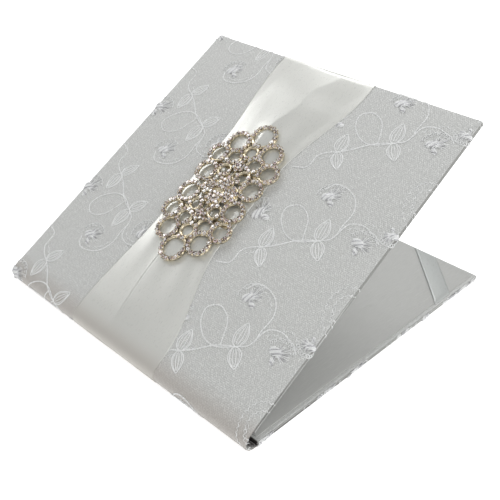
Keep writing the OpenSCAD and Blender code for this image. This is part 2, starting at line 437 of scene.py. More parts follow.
def net_over_satin(colours):
    """Fine hexagonal net laid over satin and mottled by its threads. It has painted shade where it turns down
    at the covers' ends, with a painted shadow line at their bottom, warm painted shade by the folds, and near
    black painted shade where it lines the hollow in the spine."""
    f = Finish("Net over satin")
    pitch = 0.95 * MM
    turn = 2 * math.pi / pitch
    net = f.cloth_map(turn, turn)
    cell, across = f.axis(net, 0), f.axis(net, 1)
    waves = cell.cos() + (cell * 0.5 + across * 0.866).cos() + (cell * 0.5 - across * 0.866).cos()
    holes = waves.step(-0.6, 1.9)
    threads = f.noise(f.cloth_map(1500, 420, math.pi / 4), 1.0, 2.0, 0.6).step(0.3, 0.7)
    cloudy = f.noise(f.cloth_map(), 34.0, 3.0)
    grain = f.noise(f.cloth_map(), 1700.0, 2.0)
    base = f.mix(holes, rgb(colours.net), darker(colours.net, 0.68))
    base = f.mix(threads * 0.7, base, darker(colours.net, 0.6))
    base = f.mix(cloudy.step(0.35, 0.75) * 0.22, base, darker(colours.net, 0.84))
    base = f.mix(grain.step(0.42, 0.58) * 0.75, base, darker(colours.net, 0.58))
    along_spine = f.axis(f.cloth_map(), 1).absolute()
    # painted shade on the cloth where it turns down at the covers' ends
    end = along_spine.step(HALF - 0.3 * MM, HALF + 0.3 * MM)
    base = f.mix(end * 0.8, base, rgb(colours.painted_edge_shade))
    # painted shadow: a dark line along the bottom of the covers' ends, next to the floor
    height = f.axis(f.object_map(), 2)
    base = f.mix(end * (1.0 - height.step(0.5 * MM, 1.3 * MM)) * 0.9, base, darker(colours.painted_edge_shade, 0.25))
    # painted shade: warmer and darker cloth round the spine's fold
    near_fold = 1.0 - f.axis(f.cloth_map(), 0).step(3 * MM, 17 * MM)
    base = f.mix(near_fold * 0.55, base, rgb(colours.painted_fold_shade))
    # painted shade: near black where the cloth lines the hollow of the spine, towards its ends
    from_middle = (along_spine - HOLLOW_MARK).absolute()
    hollow_shade = along_spine.step(0.5, 0.6) * from_middle.step(HALF - 20 * MM, HALF - 9 * MM)
    base = f.mix(hollow_shade * 0.97, base, HOLLOW_PAINTED_SHADE)
    relief = f.bump(holes * -1.0 + threads * 0.5, 0.12 * MM, 0.55)
    return f.surface(
        base_color=base, roughness=0.58, normal=relief, sheen_weight=0.35, sheen_roughness=0.45,
        specular_ior_level=0.35
    )


def thread(name, colour, metallic, rough):
    """Twisted embroidery thread."""
    f = Finish(name)
    fibres = f.noise(f.object_map(), 2400.0, 2.0, 0.6)
    twist = f.noise(f.object_map(), 900.0, 1.0)
    base = f.mix(fibres.step(0.3, 0.7) * 0.5, rgb(colour), darker(colour, 0.72))
    relief = f.bump(fibres + twist, 0.18 * MM, 0.7)
    return f.surface(
        base_color=base, roughness=twist.step(0.2, 0.8) * 0.2 + rough, normal=relief, metallic=metallic,
        sheen_weight=0.2 * (1 - metallic)
    )


def satin(name, colour, painted_fold_shade=None):
    """Satin ribbon with fine threads along its length; where it bends round the spine it can take painted
    shade and be rougher.
    """
    f = Finish(name)
    fibres = f.noise(f.cloth_map(300, 5200), 1.0, 2.0, 0.6)
    streaks = f.noise(f.cloth_map(22, 420), 1.0, 3.0)
    base = f.mix(streaks.step(0.3, 0.75) * 0.1, rgb(colour), darker(colour, 0.88))
    relief = f.bump(fibres, 0.02 * MM, 0.3)
    rough = fibres.step(0.2, 0.8) * 0.1 + 0.26
    if painted_fold_shade:
        # painted shade where the band bends round the spine, where it is rougher too
        bend = 1.0 - f.axis(f.cloth_map(), 0).step(4 * MM, 15 * MM)
        base = f.mix(bend * 0.45, base, painted_fold_shade)
        rough = rough + bend * 0.3
    return f.surface(
        base_color=base, roughness=rough, normal=relief,
        sheen_weight=0.1, sheen_roughness=0.3, specular_ior_level=0.6, metallic=0.35
    )


def slubbed_silk(colours):
    """Silver-grey silk with thick and thin threads across it."""
    f = Finish("Slubbed silk")
    weft = f.noise(f.cloth_map(140, 4200), 1.0, 3.0, 0.65)
    slubs = f.noise(f.cloth_map(60, 1500), 1.0, 4.0, 0.7).step(0.56, 0.72)
    warp = f.noise(f.cloth_map(4200, 500), 1.0, 2.0)
    base = f.mix(weft.step(0.3, 0.7), darker(colours.silk, 0.88), rgb(colours.silk))
    base = f.mix(slubs * 0.5, base, darker(colours.silk, 1.2))
    base = f.mix(warp.step(0.4, 0.8) * 0.25, base, darker(colours.silk, 0.78))
    relief = f.bump(weft * 0.6 + slubs + warp * 0.3, 0.1 * MM, 0.7)
    return f.surface(
        base_color=base, roughness=0.44, normal=relief, sheen_weight=0.3, specular_ior_level=0.5,
        metallic=0.12
    )


def board_finish(colours):
    """Grey board with flecks of pulp."""
    f = Finish("Grey board")
    pulp = f.noise(f.object_map(), 900.0, 4.0, 0.7)
    fleck = f.noise(f.object_map(), 2600.0, 2.0).step(0.6, 0.75)
    base = f.mix(pulp.step(0.3, 0.7), darker(colours.board, 0.85), rgb(colours.board))
    base = f.mix(fleck * 0.4, base, darker(colours.board, 0.5))
    return f.surface(base_color=base, roughness=0.9, normal=f.bump(pulp, 0.1 * MM, 0.5))


def wadding(colours):
    """Soft white wadding."""
    f = Finish("Wadding")
    fluff = f.noise(f.object_map(), 700.0, 5.0, 0.7)
    base = f.mix(fluff.step(0.3, 0.7), darker(colours.wadding, 0.9), rgb(colours.wadding))
    return f.surface(base_color=base, roughness=0.95, normal=f.bump(fluff, 0.4 * MM, 0.6), sheen_weight=0.4)


def plated_metal(colours):
    """Bright champagne plating, duller and darker in random patches."""
    f = Finish("Champagne plating")
    dull = f.noise(f.object_map(), 520.0, 3.0)
    base = f.mix(dull.step(0.35, 0.7), rgb(colours.metal), darker(colours.metal, 0.5))
    relief = f.bump(f.noise(f.object_map(), 1500.0), 0.04 * MM, 0.4)
    return f.surface(base_color=base, roughness=dull.step(0.3, 0.8) * 0.2 + 0.22, normal=relief, metallic=1.0)


def crystal_finish():
    """Foil-backed cut crystal with painted reflections: a painted shade for each facet, painted sparkle and a
    faint glow.
    """
    f = Finish("Cut crystal")
    # painted reflections: the shade painted on each facet
    shade = f.add("Attribute", {"attribute_name": "shade"})
    # painted sparkle: near white spots over the facets
    painted_sparkle = f.noise(f.object_map(), 1300.0, 1.0)
    base = f.mix(painted_sparkle.step(0.5, 0.75) * 0.3, shade, (0.95, 0.96, 1.0))
    # the painted reflections also glow faintly
    return f.surface(
        base_color=base, roughness=0.06, metallic=0.1, coat_weight=1.0, coat_roughness=0.02,
        emission_color=base, emission_strength=0.08
    )


# --- Settings that a user would change ---


def length(name, description, default):
    return bpy.props.FloatProperty(
        name=name, description=description, default=default, min=0.0, precision=5, unit="LENGTH",
        subtype="DISTANCE"
    )


def colour(name, description, default):
    return bpy.props.FloatVectorProperty(
        name=name, description=description, default=default, size=3, min=0.0, max=1.0, subtype="COLOR"
    )


class FolioSizes(bpy.types.PropertyGroup):
    """Sizes of the soft pieces and of the jewels."""

    edge_round: length("Edge round", "Radius of the covers' soft edges", 0.9 * MM)
    crown: length("Crown", "How far the padding lifts the cloth", 0.35 * MM)
    spine_bulge: length("Spine bulge", "How far the cloth bulges out of the spine", 4.6 * MM)
    cloth_t: length("Cloth thickness", "Thickness of the covering cloth at the spine", 0.5 * MM)
    ribbon_w: length("Ribbon width", "Width of the band", RIBBON_HIGH.y - RIBBON_LOW.y)
    waist_w: length("Waist width", "Width of the band under the brooch", 44 * MM)
    gather: length("Gather", "Height of the band's gathers", 0.55 * MM)
    repeat: length("Repeat", "Length of one repeat of the embroidery", 62.5 * MM)
    vine_d: length("Vine thickness", "Thickness of the corded vines", 0.56 * MM)
    stone_d: length("Stone", "Diameter of the small stones", 2.45 * MM)
    dome: length("Dome", "How far the brooch's middle stands above its ends", 1.1 * MM)


class FolioColours(bpy.types.PropertyGroup):
    """Colours of the finishes."""

    net: colour("Net", "Net over satin", (0.79, 0.80, 0.785))
    # painted shade round the spine's fold, on the cloth and on the band
    painted_fold_shade: colour("Fold shade", "Warmer tone of the cloth round the spine", (0.38, 0.33, 0.29))
    # painted shade on the cloth that turns down at the covers' ends, and its painted shadow line at the
    # bottom
    painted_edge_shade: colour("Edge shade", "Cloth that turns down at the covers' ends", (0.14, 0.14, 0.125))
    satin: colour("Satin", "Ribbon band", (0.67, 0.675, 0.645))
    narrow_satin: colour("Narrow satin", "Ribbons across the lining's corners", (0.54, 0.56, 0.55))
    silk: colour("Silk", "Lining", (0.53, 0.535, 0.52))
    white_thread: colour("White thread", "Vines, leaves and rosettes", (0.92, 0.93, 0.93))
    silver_thread: colour("Silver thread", "Metallic stitches of the rosettes", (0.64, 0.64, 0.66))
    metal: colour("Metal", "Plating of the brooch", (0.90, 0.80, 0.60))
    board: colour("Board", "Board in the covers", (0.36, 0.34, 0.30))
    wadding: colour("Wadding", "Padding in the covers", (0.86, 0.86, 0.83))
    floor: colour("Floor", "Floor and backdrop", (0.86, 0.86, 0.86))


def settings():
    scene = bpy.context.scene
    return scene.folio_sizes, scene.folio_colours


class FolioOperator:
    bl_options = {"REGISTER", "UNDO"}

    def execute(self, context):
        self.make(*settings())
        return {"FINISHED"}


# --- Covers and spine ---

# How much the cloth that is turned in at the spine's ends pads them, and where this starts and is full
BUNCH_FRONT, BUNCH_BACK = 0.7 * MM, 2.2 * MM
BUNCH_START, BUNCH_FULL = 9 * MM, 3 * MM  # from the spine's ends
FOLD_ROUND = 0.2 * MM  # radius of the cloth's edge in the fold


def cover_form(cloth, cover, name):
    """A padded cover with its half of the spine's cloth, as one closed form."""
    cloth_t = cloth.sizes.cloth_t
    wall_a = [2 * FOLD_GAP, 1.2 * FOLD_GAP, FOLD_GAP, FOLD_GAP]
    wall_h = [-THICK, -THICK + 0.35 * MM, -THICK + 1 * MM, -1.2 * MM]
    inside = [(a, -THICK) for a in np.linspace(FREE - 14 * MM, 6 * MM, 24)]
    fold = cloth.path[: cloth.fold_points] - cloth.normal[: cloth.fold_points] * cloth_t
    fold_in = fold[fold[:, 0] < FOLD_ROUND][::-1]
    back = np.array([*inside, *zip(wall_a, wall_h, strict=True), *fold_in])
    path = np.concatenate([cloth.path, back])
    normal = np.concatenate([cloth.normal, left_of(back)])
    around = np.concatenate([[0], np.cumsum(np.linalg.norm(np.diff(path, axis=0, append=path[:1]), axis=1))])
    thin = smooth(path[:, 0], -1 * MM, 3 * MM)
    index = np.arange(len(path))
    r = np.where(index < len(cloth.path), 1, thin) * thin * (cloth.round - FOLD_ROUND) + FOLD_ROUND
    bunched = index >= len(path) - len(fold_in)  # the cloth is turned in at the spine's ends
    bunch = BUNCH_FRONT if cover is FRONT else BUNCH_BACK
    hollow = index > len(cloth.path) + len(inside)
    turns = np.linspace(0, math.pi / 2, 7)
    ends = [(HALF, t) for t in turns[:0:-1]]
    stations = [(-y, t) for y, t in ends] + [(y, 0) for y in np.linspace(-HALF, HALF, 90)[1:-1]]
    stations += ends[::-1]
    rows, uv = [], []
    for y, turn in stations:
        across = np.clip(y, -(HALF - r), HALF - r) + np.sign(y) * r * math.sin(turn)
        h_in = np.clip(normal[:, 1], 0, 1) * cloth.rise(path[:, 0], across) - r * (1 - math.cos(turn))
        h_in += bunched * bunch * smooth(abs(y), HALF - BUNCH_START, HALF - BUNCH_FULL)
        rows.append(cover.place(path[:, 0] + normal[:, 0] * h_in, across, path[:, 1] + normal[:, 1] * h_in))
        cloth_y = across + np.sign(y) * r * (turn - math.sin(turn))
        # the cloth that lines the spine's hollow is marked for its painted shade
        cloth_y = cloth_y + hollow * HOLLOW_MARK
        uv.append([(s, cy) for s, cy in zip(around, [*cloth_y, cloth_y[0]], strict=True)])
    return loft(name, rows, uv, closed=True)


class FOLIO_OT_covers(FolioOperator, bpy.types.Operator):
    """Makes the two padded covers, each with its half of the spine's cloth"""

    bl_idname = "folio.covers"
    bl_label = "Covers"

    def make(self, sizes, colours):
        finish = net_over_satin(colours)
        for cover, name, nodes in (
            (FRONT, "front_cover_cloth", ("front_cover_fabric", "spine_fabric")),
            (BACK, "back_cover_cloth", ("back_cover_fabric",)),
        ):
            piece = cover_form(Cloth(sizes, cover), cover, name)
            finish_piece(piece, finish, cover)
            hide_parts(*nodes)


SPINE_RECESS = 4.5 * MM  # the spine's card and silk stop this far short of its ends


class FOLIO_OT_linings(FolioOperator, bpy.types.Operator):
    """Makes the lining panels inside the covers and the lining of the spine"""

    bl_idname = "folio.linings"
    bl_label = "Linings"

    def make(self, sizes, colours):
        silk = slubbed_silk(colours)
        for cover, name in ((FRONT, "front_lining"), (BACK, "back_lining")):
            piece = self.panel(name + "_silk", cover)
            finish_piece(piece, silk, cover.body)
            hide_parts(name)
        card = self.spine_strip("spine_card_strip", 0.0, 0.3 * MM)
        finish_piece(card, board_finish(colours), "spine")
        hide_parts("spine_card")
        spine = self.spine_strip("spine_lining_silk", 0.45 * MM, 0.12 * MM)
        finish_piece(spine, silk, "spine")
        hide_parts("spine_lining")

    def panel(self, name, cover):
        """Silk turned over a card: a thin slab with soft edges and the faintest waves."""
        low, high = (FOLD_GAP + INSET, INSET - HALF), (FREE - INSET, HALF - INSET)
        size = (high[0] - low[0] + 0.2 * MM, high[1] - low[1] + 0.2 * MM, PANEL)
        deselect()
        bpy.ops.mesh.primitive_cube_add(size=1, location=((low[0] + high[0]) / 2, 0, -THICK - PANEL / 2))
        piece = bpy.context.active_object
        piece.scale = size
        bpy.ops.object.transform_apply(location=True, rotation=False, scale=True)
        bevel_all(0.2 * MM, 3)
        for face in piece.data.polygons:
            face.select = abs(face.normal.z) > 0.99
        bpy.ops.object.mode_set(mode="EDIT")
        bpy.ops.mesh.subdivide(number_cuts=36)
        bpy.ops.object.mode_set(mode="OBJECT")
        piece.name = piece.data.name = name
        points = vertices(piece)
        layer = piece.data.uv_layers[0]
        layer.name = "cloth"
        for loop in piece.data.loops:
            layer.data[loop.index].uv = points[loop.vertex_index][:2]
        a, y, h = points.T
        inside = np.minimum(np.minimum(a - low[0], high[0] - a), HALF - INSET - np.abs(y))
        wave = np.sin(a / (17 * MM) + np.sin(y / (31 * MM))) * np.sin(y / (24 * MM)) * 0.05 * MM
        h = np.where(h < -THICK - PANEL / 2, h + wave * smooth(inside, 0, 12 * MM), h)
        move_vertices(piece, cover.place(a, y, h))
        if cover is BACK:
            piece.data.flip_normals()
        return shade_smooth(piece)

    def spine_strip(self, name, depth, thickness):
        """A faintly bowed strip between the folds, set inwards by depth and short of the spine's ends."""
        bulge = 0.3 * MM
        radius = (SPINE_L**2 / 4 + bulge**2) / (2 * bulge)
        reach = math.asin(SPINE_L / 2 / radius) - 0.5 * MM / radius
        up = (UPPER - LOWER) / SPINE_L
        centre = MIDDLE + INWARDS * (radius - bulge + 0.2 * MM)
        rows, uv = [], []
        for y in np.linspace(-HALF + SPINE_RECESS, HALF - SPINE_RECESS, 60):
            angles = np.linspace(-reach, reach, 14)
            wave = 0.03 * MM * np.sin(y / (9 * MM) + 4 * angles)
            outwards = np.sin(angles)[:, None] * up - np.cos(angles)[:, None] * INWARDS
            rows.append(centre + ACROSS * y + (radius - depth - wave)[:, None] * outwards)
            uv.append([(radius * t, y) for t in angles])
        piece = loft(name, rows, uv)
        thicken(piece, thickness)
        return piece


# --- Ribbons ---

CORNER_RIBBON_W = 10 * MM
SATIN_T = 0.2 * MM  # thickness of the satin
BAND_LIFT = 0.42 * MM  # height of the band's outer face above the cloth, where it lies flat


class Band:
    """The outline and the gathers of the ribbon band on one cover."""

    def __init__(self, cloth, cover):
        self.cloth = cloth
        self.front = cover is FRONT
        self.brooch_a = brooch_centre()[0]
        self.mid_spine = (RIBBON_LOW.y + RIBBON_HIGH.y) / 2

    def middle(self, a):
        if not self.front:
            return np.full_like(a, self.mid_spine)
        to_brooch = smooth(a, 0, self.brooch_a - 20 * MM)
        to_free = smooth(a, self.brooch_a + 22 * MM, FREE - 6 * MM)
        return self.mid_spine + 6.5 * MM * to_brooch - 3.5 * MM * to_free

    def half_width(self, a):
        sizes = self.cloth.sizes
        wide = np.full_like(a, sizes.ribbon_w / 2)
        if not self.front:
            return wide
        away = np.abs(a - self.brooch_a)
        return wide - (sizes.ribbon_w - sizes.waist_w) / 2 * (1 - smooth(away, 24 * MM, 84 * MM))

    def lift(self, a, y, v):
        """Height of the ribbon above the cloth; v is -1 at the near edge and 1 at the far edge."""
        flat = BAND_LIFT + 0 * a
        if not self.front:
            return flat + 0.05 * MM * np.sin(v * 5 + a / (13 * MM))
        sizes = self.cloth.sizes
        away = np.abs(a - self.brooch_a)
        pull = 1 - smooth(away, 18 * MM, 80 * MM)
        edge = 1 - np.abs(v) ** 6
        pleats = np.sin(v * 11 + 0.8 * np.sin(a / (16 * MM))) * 0.5 + 0.5
        height = flat + sizes.gather * edge * pull * (0.35 + 0.65 * pleats)
        # one long fold runs from the brooch to the spine, and one to the near corner of the free edge
        left = smooth(a, -4 * MM, 20 * MM) * (1 - smooth(a, 60 * MM, 76 * MM))
        crease = 7.2 * MM + 4.5 * MM * smooth(a, -2 * MM, 42 * MM)
        height = height + edge * left * ridge(crease - y, 1.0 * MM, 30 * MM, 1.3 * MM)
        right = smooth(a, 108 * MM, 130 * MM) * (1 - 0.4 * smooth(a, 146 * MM, 182 * MM))
        crease = 9 * MM - 6 * MM * smooth(a, 134 * MM, 154 * MM) - 14 * MM * smooth(a, 160 * MM, 186 * MM)
        height = height + edge * right * ridge(y - crease, 1.9 * MM, 27 * MM, 22 * MM)
        return height


def ridge(t, height, gentle, steep):
    """A crease at t = 0 between a gentle slope, where t is above 0, and a steeper one."""
    return height * np.clip(np.where(t > 0, 1 - t / gentle, 1 + t / steep), 0, 1)


class FOLIO_OT_ribbons(FolioOperator, bpy.types.Operator):
    """Makes the satin band round the folio and the narrow ribbons across the lining's corners"""

    bl_idname = "folio.ribbons"
    bl_label = "Ribbons"

    def make(self, sizes, colours):
        finish = satin("Ivory satin", colours.satin, rgb(colours.painted_fold_shade))
        narrow = satin("Silver satin", colours.narrow_satin)
        for cover, name, nodes in (
            (FRONT, "ribbon_front_satin", ("ribbon_front", "ribbon_spine")),
            (BACK, "ribbon_back_satin", ("ribbon_back",)),
        ):
            piece = self.band(name, Cloth(sizes, cover), cover)
            finish_piece(piece, finish, cover)
            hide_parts(*nodes)
        for node in ("corner_ribbon_free_edge", "corner_ribbon_spine_edge"):
            piece = self.corner(node)
            finish_piece(piece, narrow, "back_cover")
            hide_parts(node)

    def band(self, name, cloth, cover):
        band = Band(cloth, cover)
        tuck_s = cloth.inside_s + INSET - cloth.round  # it ends at the lining panel's edge
        s = np.concatenate([np.linspace(0, cloth.edge_s, 150), np.linspace(cloth.edge_s, tuck_s, 16)[1:]])
        v = np.linspace(-1, 1, 96)
        s, v = np.meshgrid(s, v, indexing="ij")
        a = s - cloth.shift
        y = band.middle(a) + v * band.half_width(a)
        on_face = 1 - smooth(s, cloth.edge_s - 1 * MM, cloth.edge_s + 1 * MM)
        lift = BAND_LIFT + (band.lift(a, y, v) - BAND_LIFT) * on_face
        rows = cover.place(*cloth.at(s, y, lift - SATIN_T))
        piece = loft(name, rows, np.stack([s, y], axis=-1), flip=cover is BACK)
        thicken(piece, SATIN_T)
        return piece

    def corner(self, node):
        """A bowed ribbon across a corner of the back lining, its ends turned over the lining's edge."""
        low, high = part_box(node)
        free_side = node.endswith("free_edge")
        corner_x, corner_y = (high.x, low.y) if free_side else (low.x, high.y)
        way_x, way_y = (-1, 1) if free_side else (1, -1)
        reach = high.x - low.x
        width = CORNER_RIBBON_W * math.sqrt(2)
        rows, uv = [], []
        ends = [(-0.9 * MM, 0.0), (-0.25 * MM, PANEL * 0.6), (0.1 * MM, PANEL + 0.12 * MM)]
        along = np.linspace(0, 1, 30)[1:-1]
        for across in np.linspace(0, 1, 12):
            far = reach - width * (1 - across)
            line = [(far + 0.4 * MM, y, z) for y, z in ends]
            bow = 0.15 * MM + 0.25 * MM * (4 * along * (1 - along)) ** 0.7
            bow = bow + 0.1 * MM * math.sin(across * math.pi)
            line += [(far * (1 - t), far * t, PANEL + b) for t, b in zip(along, bow, strict=True)]
            line += [(x, far + 0.4 * MM, z) for x, z in ends[::-1]]
            rows.append([(corner_x + way_x * x, corner_y + way_y * y, HIGH.z + z) for x, y, z in line])
            lengths = np.linspace(0, 1, len(line)) * far * math.sqrt(2)
            uv.append([(s, across * CORNER_RIBBON_W) for s in lengths])
        piece = loft(node + "_satin", rows, uv)
        if sum(polygon.normal.z for polygon in piece.data.polygons) < 0:
            piece.data.flip_normals()
        thicken(piece, SATIN_T)
        return piece


# --- Embroidery: it is drawn flat on the unrolled cloth, in millimetres, and then laid on the covers ---

# One motif: x along the cloth from the fold line, y along the spine
VINES = (
    ((24, -50), (34.6, -45.2), (38.8, -38.5), (38, -34), (34.4, -31), (28.4, -33), (23.5, -38.4),
     (21.5, -44), (22.5, -50), (26.6, -57), (30, -62), (34, -63.5)),
    ((34, -63.5), (39.2, -63), (44.5, -63.5), (48.8, -62.9), (53.9, -59.5), (56.7, -54.3), (57.6, -49),
     (56.4, -45), (52, -42.5)),
    ((34, -63.5), (38.5, -64.3), (41.4, -66.1), (42.9, -70), (43, -73.6), (41.9, -76.9), (40.9, -80.6),
     (38, -84)),
    ((11, -34), (15, -39.8), (21.5, -47), (25, -53), (26.6, -57)),
    ((-6, -18), (-3, -25), (5, -26), (9, -30), (11, -34)),
)
# Scalloped threads beside the vines
SCALLOPS = (
    ((47, -61.5), (51, -59), (54.2, -55), (55.2, -50), (54.2, -46)),
    ((38, -66.5), (40.2, -69), (40.6, -73), (39.6, -77)),
    ((44, -72), (45.5, -76), (44, -80), (41, -84)),
    ((51, -95), (52.7, -89.6), (57, -84.2), (61.8, -82.1), (66.4, -80.9), (71.4, -81.7), (76.2, -84.9),
     (79, -95)),
    ((56, -95), (58, -88.5), (63, -85.4), (68.5, -84.6), (73, -87.5), (75, -95)),
    ((59, -90), (61, -87), (65, -86.2)),
    ((4, -28), (7, -32), (13, -36.5), (17, -41)),
)
# (x, y, direction in degrees, length, width)
LEAVES = (
    (11, -34, 215, 11, 6),
    (11, -34, 8, 11.5, 7),
    (26.6, -57, 9, 12.5, 7),
    (26.6, -57, 218, 11, 6.5),
)
# (x, y, half length, half width, direction in degrees of the fan of stitches)
ROSETTES = (
    (49.5, -48, 6.2, 5.2, 100),
    (33.5, -76.5, 6.2, 5.2, 70),
    (27, -21, 7, 6, 130),
    (45, -86.5, 4.6, 3.6, 250),
)
# (distance from the fold, half length) of the stretches of the back cover's near edge with embroidery
EDGE_SPRAYS = ((6, 3), (47, 6), (71, 6), (108, 4), (130, 3), (150, 6), (162, 7), (172, 6))
GLIDE_X, GLIDE_Y = 84, 106.5  # the next motif along the spine is mirrored and moved by this


def placings(sizes):
    """Each placing of the motif, as a function from the motif's millimetres to metres on the whole cloth."""
    for k in range(-5, 3):
        yield lambda x, y, k=k: (x * MM + k * sizes.repeat, y * MM)
        yield lambda x, y, k=k: ((GLIDE_X - x) * MM + k * sizes.repeat, (y + GLIDE_Y) * MM)


def flowing(points, step=0.4 * MM):
    """A smooth line through points, as the hand of an embroiderer draws it."""
    p = np.array(points, float)
    p = np.concatenate([[2 * p[0] - p[1]], p, [2 * p[-1] - p[-2]]])
    line = []
    for i in range(1, len(p) - 2):
        count = max(2, math.ceil(np.linalg.norm(p[i + 1] - p[i]) / step))
        t = np.linspace(0, 1, count, endpoint=False)[:, None]
        before, here, after, beyond = p[i - 1 : i + 3]
        bend = 2 * before - 5 * here + 4 * after - beyond
        swing = 3 * here - before - 3 * after + beyond
        line.append(0.5 * (2 * here + (after - before) * t + bend * t**2 + swing * t**3))
    return np.concatenate([*line, p[-2:-1]])


def threads(name, lines, beads=0.0):
    """Round threads along lines of (x, y, height, radius), as one mesh; beads is the share of the radius that
    the stitches take away."""
    curve = bpy.data.curves.new(name, "CURVE")
    curve.dimensions = "3D"
    curve.bevel_depth = 1.0
    curve.bevel_resolution = 1
    curve.use_fill_caps = True
    for line in lines:
        spline = curve.splines.new("POLY")
        spline.points.add(len(line) - 1)
        for i, (point, (x, y, z, radius)) in enumerate(zip(spline.points, line, strict=True)):
            point.co = (x, y, z, 1)
            point.radius = radius * (1 - beads * (i % 2))
    piece = new_object(name, curve)
    choose(piece)
    bpy.ops.object.convert(target="MESH")
    return shade_smooth(bpy.context.view_layer.objects.active)


class Half:
    """One half of the folio, for laying embroidery on it."""

    def __init__(self, cloth, cover):
        self.cloth = cloth
        self.cover = cover
        self.front = cover is FRONT

    def unrolled(self, x):
        """The distance from the middle of the spine, from the pattern's own x."""
        return x + self.cloth.shift if self.front else -x - self.cloth.shift

    def holds(self, x, y):
        s = self.unrolled(x)
        return 0 < s < self.cloth.edge_s + 3 * MM and abs(y) < HALF + 2.2 * MM

    def lay(self, piece):
        """Wraps a flat piece round the cloth. Under the band it is pressed flat."""
        x, y, lift = vertices(piece).T
        s = self.unrolled(x)
        a = s - self.cloth.shift
        band = Band(self.cloth, self.cover)
        v = (y - band.middle(a)) / band.half_width(a)
        under = np.abs(v) < 1.02
        lift = np.where(under, np.minimum(lift, 0.1 * MM), lift)
        if not self.front:
            lift = np.where(np.abs(y) < HALF - 1 * MM, np.minimum(lift, 0.24 * MM), lift)
        move_vertices(piece, self.cover.place(*self.cloth.at(s, y, lift)))


